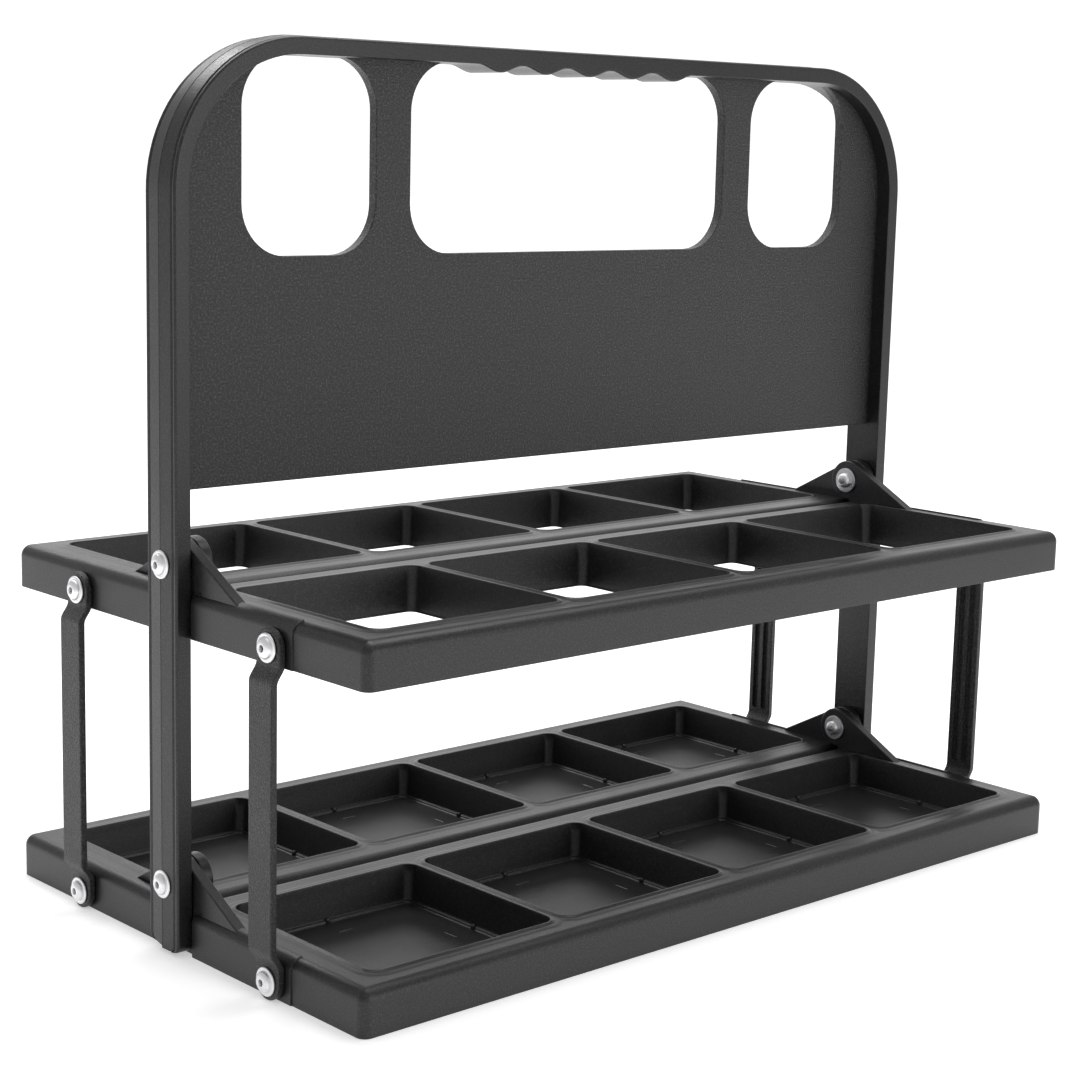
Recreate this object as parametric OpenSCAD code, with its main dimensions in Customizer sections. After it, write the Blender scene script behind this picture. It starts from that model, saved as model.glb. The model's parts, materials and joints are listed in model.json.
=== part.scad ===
// Folding two-tier carrier: a handle frame, two trays that each fold up in two halves,
// and four side links that keep the upper and lower halves parallel.
// X runs along the trays, the front is -Y, Z = 0 is the surface the trays stand on.

/* [Trays] */
// Length of each tray, end to end
tray_len = 380; // [379.8:0.1:380.4]
// Width of one tray half, from the hinge plane to its outer edge
half_w = 112.3; // [108.3:0.2:114.3]
// Height of the deck above the tray's bottom edge
deck_h = 16.8; // [16:0.1:17.5]
// Height from the lower tray to the upper tray
tier_rise = 118.5; // [118:0.5:124]
// Cells along each tray half
cells = 4; // [3:1:5]
// Deck between the end of a tray and its first cell
end_margin = 14.2; // [14:0.2:16]
// Deck between the outer edge of a tray and its cells
outer_margin = 12.8; // [12:0.2:15]
// Deck between the hinge plane and the cells
centre_margin = 14.9; // [14.5:0.1:18]
// Deck between two cells
divider_w = 4.9; // [4.8:0.1:7]
// Wall thickness of the tray mouldings
wall = 2.2; // [1.8:0.1:2.4]
// Radius of the tray's top edges
edge_r = 4.5; // [3:0.5:5]
// Height of the raised collar round the cells
collar_h = 0.7; // [0.4:0.1:1]

/* [Hinges] */
// Height of a hinge axis above its tray's bottom edge
hinge_h = 26.2; // [26:0.1:27]
// Radius of the round top of a hinge ear
ear_r = 9; // [8:0.5:9]
// Length of a hinge ear along the deck, from the hinge plane
ear_foot = 36.5; // [30:0.5:40]
// Thickness of a hinge ear
ear_t = 4.5; // [3.5:0.1:4.6]
// Radius of a rivet's shank
shank_r = 2.4; // [2:0.1:2.6]
// Radial clearance where a piece turns on a rivet
turn_gap = 0.05; // [0.03:0.01:0.1]

/* [Handle frame] */
// Overall height of the frame's crowned edge
frame_h = 331.5; // [322:0.1:345]
// Distance between the inner faces of the legs
leg_span = 377.2; // [376.8:0.1:377.4]
// Thickness of the band at its front and rear edges
band_t = 6.2; // [5:0.1:7]
// Depth of the band from front to rear
band_d = 18.8; // [17:0.2:18.8]
// Height of the crown along the band's centre line
crown = 0.7; // [0.2:0.1:1]
// Radius of the band's outer corners
corner_r = 55; // [50:1:60]
// Height of the web's bottom edge
web_z = 170.8; // [168:0.2:180]
// Thickness of the web
web_t = 4.6; // [3:0.2:5]
// Height of the window sills
sill_z = 253; // [248:0.5:262]
// Corner radius of the windows
window_r = 19; // [14:1:22]

/* [Links] */
// Distance of a link's rivets from the hinge plane
link_y = 62; // [56:1:66]
// Radius of a link's eyes, and the height of its lower rivet
eye_r = 6.8; // [6:0.1:7]
// Thickness of the link strap
strap_t = 3; // [2.4:0.1:3.2]
// Outward joggle of the strap beyond its eyes
joggle = 3.2; // [2:0.1:3.4]

/* [Rivets] */
// Radius of a rivet's flange
flange_r = 5.4; // [5:0.1:5.8]
// Height of a rivet's domed head
head_h = 2.3; // [1.8:0.1:2.6]
// Radius of a backing washer
washer_r = 5.7; // [5.2:0.1:6.2]

/* [Hidden] */
$fn = 64;

// Colours
black = [0.05, 0.05, 0.055];
silver_grey = [0.8, 0.8, 0.82];
zinc = [0.75, 0.75, 0.77];
steel = [0.6, 0.6, 0.62];

// Trays
seam = 0.3;
half_d = half_w - seam;
half_y = -(half_w + seam) / 2;
plan_r = 3.5;
cell_l = (tray_len - 2 * end_margin - (cells - 1) * divider_w) / cells;
cell_w = half_w - outer_margin - centre_margin;
cell_pitch = cell_l + divider_w;
cell_y = -(centre_margin + cell_w / 2);
rim_z = deck_h + collar_h;
rim_r = 5;
lead_in_w = 0.8;
lead_in_d = 1.2;
over_rim = 0.5;
wall_draft = 1.6;
pocket_l = cell_l - 2 * lead_in_w;
pocket_w = cell_w - 2 * lead_in_w;
pocket_r = rim_r - lead_in_w;
floor_lift = 0.8;
floor_t = 2;
collar_w = 4.2;
lip_out = 0.4;
recess_y = 72;

// Legs and hinge stack, measured along X from the middle
leg_in = leg_span / 2;
leg_out = leg_in + band_t;
leg_gap = 0.5;
ear_gap = 0.2;
outer_ear_x = leg_in - leg_gap;
inner_ear_x = outer_ear_x - ear_t - ear_gap;
notch_y = band_d / 2 + 1;
leg_foot_z = 1.2;
foot_r = 3;
spot_x = leg_out + crown - 0.3;

// Web windows
window_top = frame_h - crown - band_t;
side_in = 101.9;
side_out = 162;
middle_half = 85.3;
grip_pitch = 23.5;
grip_drop = 3;
grips = 5;
grip_steps = 10;

// Links
link_gap = 0.2;
eye_x = tray_len / 2 + link_gap;
strap_x = eye_x + joggle;
strap_w = 2 * eye_r;
joggle_start = 5.5;
joggle_end = 12;
rib_w = 2;
groove_w = 3.4;
groove_d = 1.4;
groove_z = eye_r + joggle_end + 2;

// Rivets
flange_t = 0.8;
dome_r = 4;
bore_r = 1.35;
tail_r = 3.4;
tail_h = 2.4;
washer_t = 1;
washer_gap = 0.1;
stub_r = 1.3;
mandrel_end = 1.9;
mandrel_end_r = 1.9;
washer_x = inner_ear_x - ear_t - washer_gap - washer_t;
hinge_grip = spot_x - washer_x;
link_head_x = eye_x + strap_t + link_gap;
link_grip = link_head_x - tray_len / 2 + wall + lip_out;

function cell_x(i) = -tray_len / 2 + end_margin + cell_l / 2 + i * cell_pitch;

// Rectangle with four round corners, centred
module rounded_rect(l, w, r) {
    square([l - 2 * r, w], center = true);
    square([l, w - 2 * r], center = true);
    for (sx = [-1, 1], sy = [-1, 1])
        translate([sx * (l / 2 - r), sy * (w / 2 - r)]) circle(r);
}

// Rectangle standing on its base with two round top corners
module arch(w, h, r) {
    translate([-w / 2, 0]) square([w, h - r]);
    translate([-w / 2 + r, 0]) square([w - 2 * r, h]);
    for (s = [-1, 1]) translate([s * (w / 2 - r), h - r]) circle(r);
}

// Extrusion along X of a shape drawn in the Y-Z plane
module along_x(x0, x1) {
    translate([x0, 0, 0]) rotate([90, 0, 90]) linear_extrude(x1 - x0) children();
}

// Extrusion along Y of a shape drawn in the X-Z plane, centred on Y = 0
module along_y(d) {
    rotate([90, 0, 0]) linear_extrude(d, center = true) children();
}

// Round bar or hole along X
module rod_x(x0, x1, r) {
    translate([x0, 0, 0]) rotate([0, 90, 0]) cylinder(h = x1 - x0, r = r);
}

// Outer block of a tray half with its rounded edges
module tray_block() {
    intersection() {
        translate([0, half_y, 0]) linear_extrude(deck_h) rounded_rect(tray_len, half_d, plan_r);
        translate([0, half_y, 0]) along_x(-tray_len / 2, tray_len / 2) arch(half_d, deck_h, edge_r);
        translate([0, half_y, 0]) along_y(half_d) arch(tray_len, deck_h, edge_r);
    }
}

// Hollow under the deck
module tray_hollow() {
    translate([0, half_y, -1])
        linear_extrude(deck_h - wall + 1)
            rounded_rect(tray_len - 2 * wall - 2 * lip_out, half_d - 2 * wall, plan_r - 1);
}

// One cell's wall, standing under the deck
module cell_tube(i, floored) {
    bottom = floored ? floor_lift : 0;
    translate([cell_x(i), cell_y, bottom])
        tapered_block(pocket_l + 2 * wall, pocket_w + 2 * wall, pocket_r + wall, wall_draft,
                      deck_h - wall / 2 - bottom);
}

// Raised collar round one cell
module cell_collar(i) {
    translate([cell_x(i), cell_y, deck_h - wall])
        linear_extrude(wall + collar_h)
            rounded_rect(cell_l + 2 * collar_w, cell_w + 2 * collar_w, rim_r + collar_w);
}

// Block on a rectangle with round corners that grows by inset on every side over its height h.
// Its top is l by w with corner radius r.
module tapered_block(l, w, r, inset, h) {
    along_x(-l / 2 + r, l / 2 - r)
        polygon([[-w / 2 + inset, 0], [w / 2 - inset, 0], [w / 2, h], [-w / 2, h]]);
    along_y(w - 2 * r)
        polygon([[-l / 2 + inset, 0], [l / 2 - inset, 0], [l / 2, h], [-l / 2, h]]);
    for (sx = [-1, 1], sy = [-1, 1])
        translate([sx * (l / 2 - r), sy * (w / 2 - r), 0]) cylinder(h = h, r1 = r - inset, r2 = r);
}

// The space inside one cell: a lead-in at the rim, then walls with draft, down to a floor or
// open right through
module cell_pocket(i, floored) {
    bottom = floored ? floor_lift + floor_t : -0.5;
    more = lead_in_w * over_rim / lead_in_d;
    translate([cell_x(i), cell_y, bottom])
        tapered_block(pocket_l, pocket_w, pocket_r, wall_draft, rim_z - lead_in_d - bottom);
    translate([cell_x(i), cell_y, rim_z - lead_in_d])
        tapered_block(cell_l + 2 * more, cell_w + 2 * more, rim_r + more,
                      lead_in_w + more, lead_in_d + over_rim);
}

// Hinge ear drawn in the Y-Z plane: a round top with a straight slope down to the deck
module ear_shape() {
    rise = hinge_h - deck_h;
    foot_d = sqrt(ear_foot * ear_foot + rise * rise);
    slope = atan2(rise, ear_foot) + asin(ear_r / foot_d);
    translate([0, hinge_h]) circle(ear_r);
    polygon([
        [-ear_foot, deck_h],
        [-ear_r * sin(slope), hinge_h + ear_r * cos(slope)],
        [-seam, hinge_h],
        [-seam, deck_h - edge_r],
        [-ear_foot, deck_h - wall]
    ]);
}

// Front half of a tray. The rear half is the same piece turned round.
module tray_half(floored) {
    difference() {
        union() {
            difference() {
                tray_block();
                tray_hollow();
            }
            for (i = [0:cells - 1]) cell_tube(i, floored);
            for (i = [0:cells - 1]) cell_collar(i);
            along_x(-outer_ear_x, -outer_ear_x + ear_t) ear_shape();
            along_x(inner_ear_x - ear_t, inner_ear_x) ear_shape();
        }
        for (i = [0:cells - 1]) cell_pocket(i, floored);
        for (s = [-1, 1]) {
            translate([0, 0, hinge_h])
                rod_x(s * leg_in - 15, s * leg_in + 15, shank_r + turn_gap);
            translate([0, -link_y, eye_r])
                rod_x(s * tray_len / 2 - 8, s * tray_len / 2 + 8, shank_r);
            translate([s * (outer_ear_x + 5), 0, deck_h / 2])
                cube([10, 2 * notch_y, deck_h + 4], center = true);
            translate([s * (tray_len / 2 + 5 - lip_out), -recess_y - half_w / 2, deck_h / 2])
                cube([10, half_w, deck_h + 4], center = true);
        }
    }
}

// Cross-section of the band: flat inside, two outer facets meeting at a crown
module band_section() {
    polygon([
        [0, -band_d / 2],
        [band_t, -band_d / 2],
        [band_t + crown, 0],
        [band_t, band_d / 2],
        [0, band_d / 2]
    ]);
}

// The band: two legs, two round corners and the top
module band() {
    inner_r = corner_r - band_t;
    turn_x = leg_out - corner_r;
    turn_z = frame_h - crown - corner_r;
    for (s = [-1, 1]) {
        intersection() {
            translate([s * leg_in, 0, leg_foot_z])
                linear_extrude(turn_z - leg_foot_z) mirror([s < 0 ? 1 : 0, 0]) band_section();
            translate([0, 0, leg_foot_z])
                along_x(-leg_out - 5, leg_out + 5) foot_outline(turn_z - leg_foot_z);
        }
        translate([s * turn_x, 0, turn_z])
            mirror([s < 0 ? 1 : 0, 0, 0])
                rotate([90, 0, 0])
                    rotate_extrude(angle = 90, $fn = 96) translate([inner_r, 0]) band_section();
    }
    translate([0, 0, turn_z + inner_r])
        rotate([90, 0, 90]) linear_extrude(2 * turn_x, center = true)
            rotate(90) mirror([0, 1]) band_section();
}

// Outline of a leg seen along X, with round lower corners
module foot_outline(h) {
    translate([-band_d / 2, foot_r]) square([band_d, h - foot_r + 1]);
    translate([-band_d / 2 + foot_r, 0]) square([band_d - 2 * foot_r, foot_r + 1]);
    for (s = [-1, 1]) translate([s * (band_d / 2 - foot_r), foot_r]) circle(foot_r);
}

// Outline of the web in the X-Z plane, before its windows are cut
module web_outline() {
    inner_r = corner_r - band_t + 1;
    half = leg_in + 1;
    top = window_top + 1;
    translate([-half, web_z]) square([2 * half, top - inner_r - web_z]);
    translate([-half + inner_r, web_z]) square([2 * (half - inner_r), top - web_z]);
    for (s = [-1, 1]) translate([s * (half - inner_r), top - inner_r]) circle(inner_r);
}

module window(x0, x1) {
    translate([(x0 + x1) / 2, (sill_z + window_top) / 2])
        rounded_rect(x1 - x0, window_top - sill_z, window_r);
}

// Finger grip: a wavy underside with one bump for each gap between fingers
module grip_outline() {
    half = grips * grip_pitch / 2;
    polygon(concat(
        [[-half, window_top + 1]],
        [for (k = [0:grips * grip_steps])
            let (x = -half + k * grip_pitch / grip_steps)
            [x, window_top - grip_drop * (1 + cos(360 * x / grip_pitch)) / 2]],
        [[half, window_top + 1]]
    ));
}

module handle_frame() {
    color(black)
        difference() {
            union() {
                band();
                along_y(web_t)
                    difference() {
                        web_outline();
                        window(-side_out, -side_in);
                        window(-middle_half, middle_half);
                        window(side_in, side_out);
                    }
                along_y(band_d) grip_outline();
            }
            for (s = [-1, 1], z = [hinge_h, tier_rise + hinge_h])
                translate([0, 0, z]) {
                    rod_x(s * leg_in - 10, s * leg_in + 15, shank_r);
                    mirror([s < 0 ? 1 : 0, 0, 0]) rod_x(spot_x, spot_x + 5, flange_r + 0.3);
                }
        }
}

// One side link for the right end: two eyes joined by a strap that stands further out
module link_blank() {
    low = eye_r;
    high = eye_r + tier_rise;
    intersection() {
        along_y(strap_w)
            polygon([
                [eye_x, -1],
                [eye_x + strap_t, -1],
                [eye_x + strap_t, low + joggle_start],
                [strap_x + strap_t, low + joggle_end],
                [strap_x + strap_t, high - joggle_end],
                [eye_x + strap_t, high - joggle_start],
                [eye_x + strap_t, high + eye_r + 1],
                [eye_x, high + eye_r + 1],
                [eye_x, high - joggle_start],
                [strap_x, high - joggle_end],
                [strap_x, low + joggle_end],
                [eye_x, low + joggle_start]
            ]);
        along_x(eye_x - 1, strap_x + strap_t + 1) {
            for (z = [low, high]) translate([0, z]) circle(eye_r);
            translate([-eye_r, low]) square([strap_w, tier_rise]);
        }
    }
}

module link() {
    difference() {
        link_blank();
        for (z = [eye_r, eye_r + tier_rise])
            translate([0, 0, z]) rod_x(eye_x - 1, eye_x + strap_t + 1, shank_r + turn_gap);
        for (s = [-1, 1])
            translate([strap_x - 1, s * (rib_w + groove_w) / 2 - groove_w / 2, groove_z])
                cube([1 + groove_d, groove_w, tier_rise + 2 * (eye_r - groove_z)]);
    }
}

// Half section of a set blind rivet. Its head's underside is at 0 and its tail starts at -grip.
module rivet_section(grip) {
    rise = head_h - flange_t;
    arc_r = (rise * rise + dome_r * dome_r) / (2 * rise);
    difference() {
        union() {
            square([flange_r, flange_t * 0.6]);
            polygon([[0, 0], [flange_r, 0], [flange_r, flange_t * 0.6], [dome_r, flange_t], [0, flange_t]]);
            intersection() {
                translate([0, head_h - arc_r]) circle(arc_r);
                translate([0, flange_t - 0.1]) square([dome_r, head_h]);
            }
            translate([0, -grip - 0.1]) square([shank_r, grip + 0.2]);
            intersection() {
                translate([0, -grip - tail_h / 2]) circle(tail_r);
                translate([0, -grip - tail_h]) square([tail_r, tail_h]);
            }
        }
        translate([-1, -grip - tail_h - 1]) square([1 + bore_r, grip + tail_h + head_h + 2]);
        translate([-arc_r - 1, -arc_r * 2]) square([arc_r + 1, arc_r * 4]);
    }
}

// Rivet on the right end, its head outwards
module rivet(head_x, grip) {
    translate([head_x, 0, 0]) rotate([0, 90, 0]) rotate_extrude() rivet_section(grip);
}

// The broken-off mandrel that stays in the rivet: a stub with a wider end behind the tail
module mandrel(head_x, grip) {
    translate([head_x, 0, 0]) {
        rod_x(-grip - tail_h - 1, head_h - 1.2, stub_r);
        rod_x(-grip - tail_h - mandrel_end, -grip - tail_h, mandrel_end_r);
    }
}

module washer() {
    difference() {
        rod_x(washer_x, washer_x + washer_t, washer_r);
        rod_x(washer_x - 1, washer_x + washer_t + 1, shank_r);
    }
}

// Places for the pieces of the right end, the front half and the lower tier
module upper() {
    translate([0, 0, tier_rise]) children();
}

module turned() {
    rotate([0, 0, 180]) children();
}

module left() {
    mirror([1, 0, 0]) children();
}

module at_hinge() {
    translate([0, 0, hinge_h]) children();
}

module at_front() {
    translate([0, -link_y, 0]) children();
}

module at_rear() {
    translate([0, link_y, 0]) children();
}

module hinge_rivet() {
    at_hinge() rivet(spot_x, hinge_grip);
}

module hinge_mandrel() {
    at_hinge() mandrel(spot_x, hinge_grip);
}

module hinge_washer() {
    at_hinge() washer();
}

module link_rivet() {
    translate([0, 0, eye_r]) rivet(link_head_x, link_grip);
}

module link_mandrel() {
    translate([0, 0, eye_r]) mandrel(link_head_x, link_grip);
}

module upper_front_tray() {
    color(black) upper() tray_half(false);
}

module upper_rear_tray() {
    color(black) upper() turned() tray_half(false);
}

module lower_front_tray() {
    color(black) tray_half(true);
}

module lower_rear_tray() {
    color(black) turned() tray_half(true);
}

module front_left_link() {
    color(black) at_front() left() link();
}

module front_right_link() {
    color(black) at_front() link();
}

module rear_left_link() {
    color(black) at_rear() left() link();
}

module rear_right_link() {
    color(black) at_rear() link();
}

module upper_left_hinge_rivet() {
    color(silver_grey) upper() left() hinge_rivet();
}

module upper_right_hinge_rivet() {
    color(silver_grey) upper() hinge_rivet();
}

module lower_left_hinge_rivet() {
    color(silver_grey) left() hinge_rivet();
}

module lower_right_hinge_rivet() {
    color(silver_grey) hinge_rivet();
}

module upper_left_hinge_washer() {
    color(zinc) upper() left() hinge_washer();
}

module upper_right_hinge_washer() {
    color(zinc) upper() hinge_washer();
}

module lower_left_hinge_washer() {
    color(zinc) left() hinge_washer();
}

module lower_right_hinge_washer() {
    color(zinc) hinge_washer();
}

module upper_left_hinge_mandrel() {
    color(steel) upper() left() hinge_mandrel();
}

module upper_right_hinge_mandrel() {
    color(steel) upper() hinge_mandrel();
}

module lower_left_hinge_mandrel() {
    color(steel) left() hinge_mandrel();
}

module lower_right_hinge_mandrel() {
    color(steel) hinge_mandrel();
}

module upper_front_left_link_rivet() {
    color(silver_grey) upper() at_front() left() link_rivet();
}

module upper_front_right_link_rivet() {
    color(silver_grey) upper() at_front() link_rivet();
}

module upper_rear_left_link_rivet() {
    color(silver_grey) upper() at_rear() left() link_rivet();
}

module upper_rear_right_link_rivet() {
    color(silver_grey) upper() at_rear() link_rivet();
}

module lower_front_left_link_rivet() {
    color(silver_grey) at_front() left() link_rivet();
}

module lower_front_right_link_rivet() {
    color(silver_grey) at_front() link_rivet();
}

module lower_rear_left_link_rivet() {
    color(silver_grey) at_rear() left() link_rivet();
}

module lower_rear_right_link_rivet() {
    color(silver_grey) at_rear() link_rivet();
}

module upper_front_left_link_mandrel() {
    color(steel) upper() at_front() left() link_mandrel();
}

module upper_front_right_link_mandrel() {
    color(steel) upper() at_front() link_mandrel();
}

module upper_rear_left_link_mandrel() {
    color(steel) upper() at_rear() left() link_mandrel();
}

module upper_rear_right_link_mandrel() {
    color(steel) upper() at_rear() link_mandrel();
}

module lower_front_left_link_mandrel() {
    color(steel) at_front() left() link_mandrel();
}

module lower_front_right_link_mandrel() {
    color(steel) at_front() link_mandrel();
}

module lower_rear_left_link_mandrel() {
    color(steel) at_rear() left() link_mandrel();
}

module lower_rear_right_link_mandrel() {
    color(steel) at_rear() link_mandrel();
}

handle_frame();
upper_front_tray();
upper_rear_tray();
lower_front_tray();
lower_rear_tray();
front_left_link();
front_right_link();
rear_left_link();
rear_right_link();
upper_left_hinge_rivet();
upper_right_hinge_rivet();
lower_left_hinge_rivet();
lower_right_hinge_rivet();
upper_left_hinge_washer();
upper_right_hinge_washer();
lower_left_hinge_washer();
lower_right_hinge_washer();
upper_left_hinge_mandrel();
upper_right_hinge_mandrel();
lower_left_hinge_mandrel();
lower_right_hinge_mandrel();
upper_front_left_link_rivet();
upper_front_right_link_rivet();
upper_rear_left_link_rivet();
upper_rear_right_link_rivet();
lower_front_left_link_rivet();
lower_front_right_link_rivet();
lower_rear_left_link_rivet();
lower_rear_right_link_rivet();
upper_front_left_link_mandrel();
upper_front_right_link_mandrel();
upper_rear_left_link_mandrel();
upper_rear_right_link_mandrel();
lower_front_left_link_mandrel();
lower_front_right_link_mandrel();
lower_rear_left_link_mandrel();
lower_rear_right_link_mandrel();
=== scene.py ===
import json
import math

import bpy
from mathutils import Matrix, Vector
from mathutils.geometry import delaunay_2d_cdt


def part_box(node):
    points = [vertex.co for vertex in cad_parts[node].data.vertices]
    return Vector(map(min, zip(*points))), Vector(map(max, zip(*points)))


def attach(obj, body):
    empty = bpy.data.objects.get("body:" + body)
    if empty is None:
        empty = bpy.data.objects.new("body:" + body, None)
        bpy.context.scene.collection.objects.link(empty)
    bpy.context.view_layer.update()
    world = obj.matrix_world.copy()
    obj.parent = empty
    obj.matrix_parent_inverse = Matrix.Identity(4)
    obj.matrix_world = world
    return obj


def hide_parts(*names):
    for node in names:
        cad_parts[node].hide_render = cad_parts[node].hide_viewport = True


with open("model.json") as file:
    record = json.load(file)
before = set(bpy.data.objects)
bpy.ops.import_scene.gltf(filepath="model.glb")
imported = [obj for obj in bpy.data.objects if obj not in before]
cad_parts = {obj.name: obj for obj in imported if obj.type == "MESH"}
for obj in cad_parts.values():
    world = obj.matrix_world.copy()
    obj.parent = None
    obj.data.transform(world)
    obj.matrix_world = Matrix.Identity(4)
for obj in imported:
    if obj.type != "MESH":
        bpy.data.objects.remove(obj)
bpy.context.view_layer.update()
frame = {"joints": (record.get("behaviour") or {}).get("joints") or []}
MM = 0.001

# ---------------------------------------------------------------- sizes, in millimetres
tray_low, tray_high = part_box("lower_front_tray")
upper_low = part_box("upper_front_tray")[0]
frame_low, frame_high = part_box("handle_frame")
TRAY_X = tray_high.x / MM
TRAY_Y = -tray_low.y / MM
TIER = (upper_low.z - tray_low.z) / MM
pivot = {j["name"]: j["pos_m"] for j in frame["joints"]}
HINGE = pivot["lower_front_fold"][2] / MM
LINK_Y = -pivot["front_left_link_pivot"][1] / MM
EYE_Z = pivot["front_left_link_pivot"][2] / MM
SEAM = 0.3
DECK = 16.8
RIM = 17.5
EDGE = 4.5
WALL = 2.2
CELLS = 4
DIVIDER = 4.9
END_MARGIN = 14.2
CENTRE_MARGIN = 14.9
OUTER_MARGIN = 12.8
CELL_X = (2 * TRAY_X - 2 * END_MARGIN - (CELLS - 1) * DIVIDER) / CELLS / 2
CELL_Y = (TRAY_Y - OUTER_MARGIN - CENTRE_MARGIN) / 2
PITCH = 2 * CELL_X + DIVIDER
CENTRE_Y = -(CENTRE_MARGIN + CELL_Y)
RIM_R = 5.0
FLOOR = 2.8
LEG_IN = 188.6
BAND_T = 6.2
BAND_D = 9.4
CORNER_R = 55.0
TOP = frame_high.z / MM - 0.7
WEB_Z = 170.8
WEB_T = 2.3
SILL = 253.0
UNDER = TOP - BAND_T
LEG_FOOT = frame_low.z / MM
EAR_R = 9.0
EAR_FOOT = 36.5
EAR_T = 4.5
OUTER_EAR = LEG_IN - 0.5
INNER_EAR = OUTER_EAR - EAR_T - 0.2
# the middle of each end wall, from the legs to STEP_Y, stands PROUD of its outer part
STEP_Y = -72.0
PROUD = 0.5
GRIP_PITCH = 23.5
GRIP_DROP = 2.8
BUMPS = 5
CORNER_STEPS = 7


# ---------------------------------------------------------------- mesh building
class Shell:
    """Vertices and faces in millimetres, gathered from rings and flat fills."""

    def __init__(self):
        self.verts = []
        self.faces = []
        self.grained = []

    def ring(self, points):
        start = len(self.verts)
        self.verts.extend(points)
        return list(range(start, len(self.verts)))

    def bridge(self, a, b, closed=True):
        n = len(a)
        for i in range(n if closed else n - 1):
            j = (i + 1) % n
            self.faces.append((a[i], a[j], b[j], b[i]))

    def stack(self, rings):
        made = [self.ring(r) for r in rings]
        for a, b in zip(made, made[1:]):
            self.bridge(a, b)
        return made

    def fill(self, outer, holes=(), extra=(), lines=(), axes=(0, 1), flip=False):
        """Fills the flat region between rings of vertex numbers. extra are loose vertices."""
        used = list(outer) + [i for h in holes for i in h] + list(extra)
        flat = [Vector((self.verts[i][axes[0]], self.verts[i][axes[1]])) for i in used]
        where = {v: k for k, v in enumerate(used)}
        edges = []
        for loop in [outer, *holes]:
            edges += [(where[loop[i]], where[loop[(i + 1) % len(loop)]]) for i in range(len(loop))]
        edges += [(where[a], where[b]) for a, b in lines]
        out = delaunay_2d_cdt(flat, edges, [], 0, 1e-5)
        back = [used[o[0]] if o else None for o in out[3]]
        border = [flat[where[i]] for i in outer]
        inner = [[flat[where[i]] for i in h] for h in holes]
        for tri in out[2]:
            ids = [back[t] for t in tri]
            if None in ids:
                continue
            c = (out[0][tri[0]] + out[0][tri[1]] + out[0][tri[2]]) / 3
            if inside(c, border) and not any(inside(c, h) for h in inner):
                self.faces.append(tuple(reversed(ids)) if flip else tuple(ids))

    def add(self, other, matrix=None, grained=False):
        start, first = len(self.verts), len(self.faces)
        moved = other.verts if matrix is None else [tuple(matrix @ Vector(v)) for v in other.verts]
        turn = matrix is not None and matrix.determinant() < 0
        self.verts.extend(moved)
        for f in other.faces:
            g = tuple(start + i for i in f)
            self.faces.append(tuple(reversed(g)) if turn else g)
        self.grained += [first + i for i in other.grained]
        if grained:
            self.grained += range(first, len(self.faces))

    def build(self, name, material, body, nodes, slot, angle=32, grain=None):
        mesh = bpy.data.meshes.new(name)
        mesh.from_pydata([(x * MM, y * MM, z * MM) for x, y, z in self.verts], [], self.faces)
        mesh.materials.append(material)
        if grain:
            mesh.materials.append(grain)
            for i in self.grained:
                mesh.polygons[i].material_index = 1
        mesh.validate()
        mesh.shade_smooth()
        mesh.set_sharp_from_angle(angle=math.radians(angle))
        piece = bpy.data.objects.new(name, mesh)
        bpy.context.scene.collection.objects.link(piece)
        weighted = piece.modifiers.new("even_normals", "WEIGHTED_NORMAL")
        weighted.keep_sharp = True
        weighted.weight = 100
        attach(piece, body)
        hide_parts(*nodes)
        return piece


def inside(p, loop):
    hit = False
    for i in range(len(loop)):
        a, b = loop[i], loop[i - 1]
        if (a.y > p.y) != (b.y > p.y) and p.x < (b.x - a.x) * (p.y - a.y) / (b.y - a.y) + a.x:
            hit = not hit
    return hit


def arc(cx, cy, r, a0, a1, steps=CORNER_STEPS):
    return [
        (cx + r * math.cos(a0 + (a1 - a0) * k / steps), cy + r * math.sin(a0 + (a1 - a0) * k / steps))
        for k in range(steps + 1)
    ]


def rounded_rect(cx, cy, hx, hy, r, steps=CORNER_STEPS):
    q = math.pi / 2
    corners = [(1, 1), (-1, 1), (-1, -1), (1, -1)]
    return [
        p
        for k, (sx, sy) in enumerate(corners)
        for p in arc(cx + sx * (hx - r), cy + sy * (hy - r), r, k * q, (k + 1) * q, steps)
    ]


def offset_polygon(points, d):
    """Moves every side of a counter-clockwise loop inwards by d."""
    n = len(points)
    out = []
    for i in range(n):
        p, a, b = Vector(points[i]), Vector(points[i - 1]), Vector(points[(i + 1) % n])
        u, v = (p - a).normalized(), (b - p).normalized()
        nu, nv = Vector((-u.y, u.x)), Vector((-v.y, v.x))
        m = nu + nv
        out.append(tuple(p + m * (d / max(0.35, m.dot(nu)))))
    return out


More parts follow.
